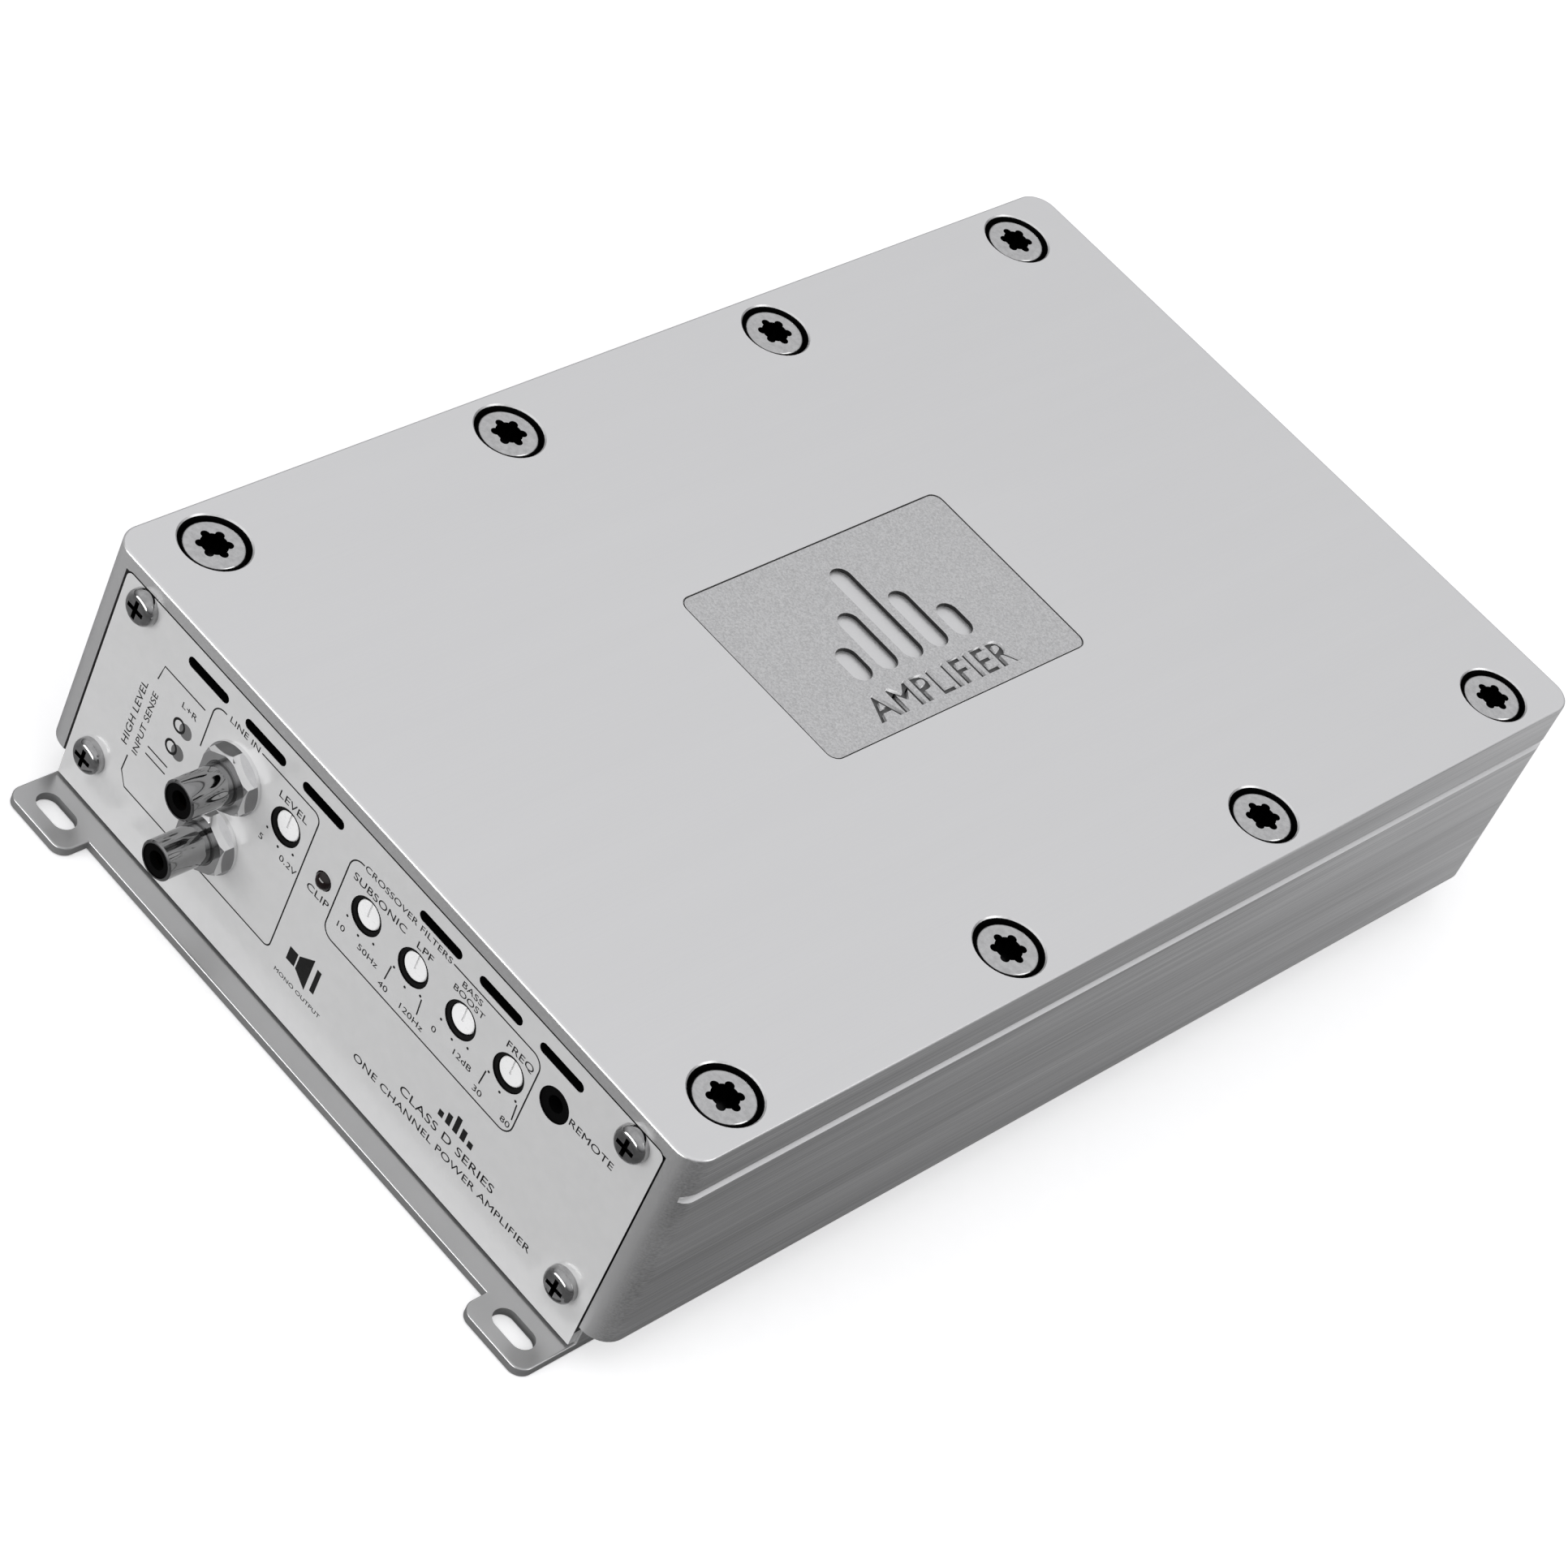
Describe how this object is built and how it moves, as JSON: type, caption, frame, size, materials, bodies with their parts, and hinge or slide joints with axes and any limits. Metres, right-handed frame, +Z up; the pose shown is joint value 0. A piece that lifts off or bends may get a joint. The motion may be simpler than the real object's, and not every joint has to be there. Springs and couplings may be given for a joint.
{
  "type": "car amplifier",
  "caption": "Flat one-channel car audio power amplifier: brushed aluminium heat sink housing, flanged slotted base, line inputs and trim knobs in front, wire clamps and fuses behind.",
  "frame": {"origin": "middle of the base plate's underside, midway between the mounting slots", "axes": "+Z up, -Y out of the control panel, +Y out of the terminal panel, +X to the right when facing the control panel"},
  "size_m": [0.168, 0.2912, 0.062],
  "materials": {
    "housing_aluminium": "fine brushed, clear anodised",
    "badge_metal": "grained, satin",
    "panel_aluminium": "satin anodised",
    "base_steel": "bright nickel plated sheet",
    "screw_nickel": "bright nickel",
    "jack_chrome": "polished chrome",
    "black_plastic": "moulded, matte",
    "contact_gold": "gold plated",
    "knob_plastic": "white moulded",
    "clip_lens": "dark red lens, unlit",
    "power_lens": "blue lens, unlit",
    "circuit_board": "green solder mask",
    "bar_aluminium": "mill finish",
    "pad_rubber": "grey silicone",
    "chip_epoxy": "moulded epoxy",
    "zinc_steel": "zinc plated",
    "ferrite": "sintered, dark grey",
    "copper": "enamelled copper",
    "capacitor_sleeve": "shrunk sleeve",
    "film_plastic": "moulded",
    "sheet_plastic": "thin insulating film",
    "terminal_nickel": "nickel plated brass",
    "fuse_plastic": "translucent orange"
  },
  "bodies": {
    "case": {"housing": "housing_aluminium", "badge_plate": "badge_metal", "base_plate": "base_steel", "front_panel": "panel_aluminium", "rear_panel": "panel_aluminium", "top_screws": "screw_nickel", "front_panel_screws": "screw_nickel", "rear_panel_screws": "screw_nickel", "base_screws": "screw_nickel", "pot_bodies": "black_plastic", "rca_shells": "jack_chrome", "rca_insulators": "black_plastic", "rca_contacts": "contact_gold", "rca_washers": "jack_chrome", "rca_nuts": "jack_chrome", "rca_housing": "black_plastic", "clip_led": "clip_lens", "remote_jack": "black_plastic", "control_board": "circuit_board", "board_connector": "black_plastic", "power_terminal_block": "black_plastic", "speaker_terminal_block": "black_plastic", "power_wire_clamps": "terminal_nickel", "speaker_wire_clamps": "terminal_nickel", "bus_bars": "copper", "fuse_holder": "black_plastic", "fuse_contacts": "terminal_nickel", "power_led": "power_lens", "main_board": "circuit_board", "insulating_sheet": "sheet_plastic", "standoffs": "zinc_steel", "board_screws": "zinc_steel", "heat_bar_left": "bar_aluminium", "heat_bar_right": "bar_aluminium", "thermal_pads": "pad_rubber", "transistors": "chip_epoxy", "clamp_bars": "zinc_steel", "clamp_screws": "zinc_steel", "transformer_cores": "ferrite", "transformer_windings": "copper", "output_choke_core": "ferrite", "output_choke_winding": "copper", "input_capacitors": "capacitor_sleeve", "rail_capacitors": "capacitor_sleeve", "driver_card": "circuit_board", "driver_chips": "chip_epoxy", "film_capacitors": "film_plastic"},
    "level_knob": {"level_knob": "knob_plastic"},
    "subsonic_knob": {"subsonic_knob": "knob_plastic"},
    "low_pass_knob": {"low_pass_knob": "knob_plastic"},
    "boost_knob": {"boost_knob": "knob_plastic"},
    "frequency_knob": {"frequency_knob": "knob_plastic"},
    "positive_set_screw": {"positive_set_screw": "zinc_steel"},
    "remote_set_screw": {"remote_set_screw": "zinc_steel"},
    "ground_set_screw": {"ground_set_screw": "zinc_steel"},
    "speaker_positive_set_screw": {"speaker_positive_set_screw": "zinc_steel"},
    "speaker_negative_set_screw": {"speaker_negative_set_screw": "zinc_steel"},
    "fuse_1": {"fuse_1": "fuse_plastic"},
    "fuse_2": {"fuse_2": "fuse_plastic"},
    "fuse_3": {"fuse_3": "fuse_plastic"}
  },
  "joints": [
    {"name": "level_turn", "type": "hinge", "parent": "case", "child": "level_knob", "pos_m": [-0.0231, -0.1313, 0.042], "axis": [0, -1, 0], "range_deg": [-140, 140]},
    {"name": "subsonic_turn", "type": "hinge", "parent": "case", "child": "subsonic_knob", "pos_m": [0.0008, -0.1313, 0.042], "axis": [0, -1, 0], "range_deg": [-140, 140]},
    {"name": "low_pass_turn", "type": "hinge", "parent": "case", "child": "low_pass_knob", "pos_m": [0.0145, -0.1313, 0.042], "axis": [0, -1, 0], "range_deg": [-140, 140]},
    {"name": "boost_turn", "type": "hinge", "parent": "case", "child": "boost_knob", "pos_m": [0.0282, -0.1313, 0.042], "axis": [0, -1, 0], "range_deg": [-140, 140]},
    {"name": "frequency_turn", "type": "hinge", "parent": "case", "child": "frequency_knob", "pos_m": [0.0419, -0.1313, 0.042], "axis": [0, -1, 0], "range_deg": [-140, 140]},
    {"name": "positive_clamping", "type": "slide", "parent": "case", "child": "positive_set_screw", "axis": [0, 0, -1], "range_m": [0, 0.005]},
    {"name": "remote_clamping", "type": "slide", "parent": "case", "child": "remote_set_screw", "axis": [0, 0, -1], "range_m": [0, 0.0024]},
    {"name": "ground_clamping", "type": "slide", "parent": "case", "child": "ground_set_screw", "axis": [0, 0, -1], "range_m": [0, 0.005]},
    {"name": "speaker_positive_clamping", "type": "slide", "parent": "case", "child": "speaker_positive_set_screw", "axis": [0, 0, -1], "range_m": [0, 0.0034]},
    {"name": "speaker_negative_clamping", "type": "slide", "parent": "case", "child": "speaker_negative_set_screw", "axis": [0, 0, -1], "range_m": [0, 0.0034]},
    {"name": "fuse_1_pull", "type": "slide", "parent": "case", "child": "fuse_1", "axis": [0, 1, 0], "range_m": [0, 0.012]},
    {"name": "fuse_2_pull", "type": "slide", "parent": "case", "child": "fuse_2", "axis": [0, 1, 0], "range_m": [0, 0.012]},
    {"name": "fuse_3_pull", "type": "slide", "parent": "case", "child": "fuse_3", "axis": [0, 1, 0], "range_m": [0, 0.012]}
  ]
}
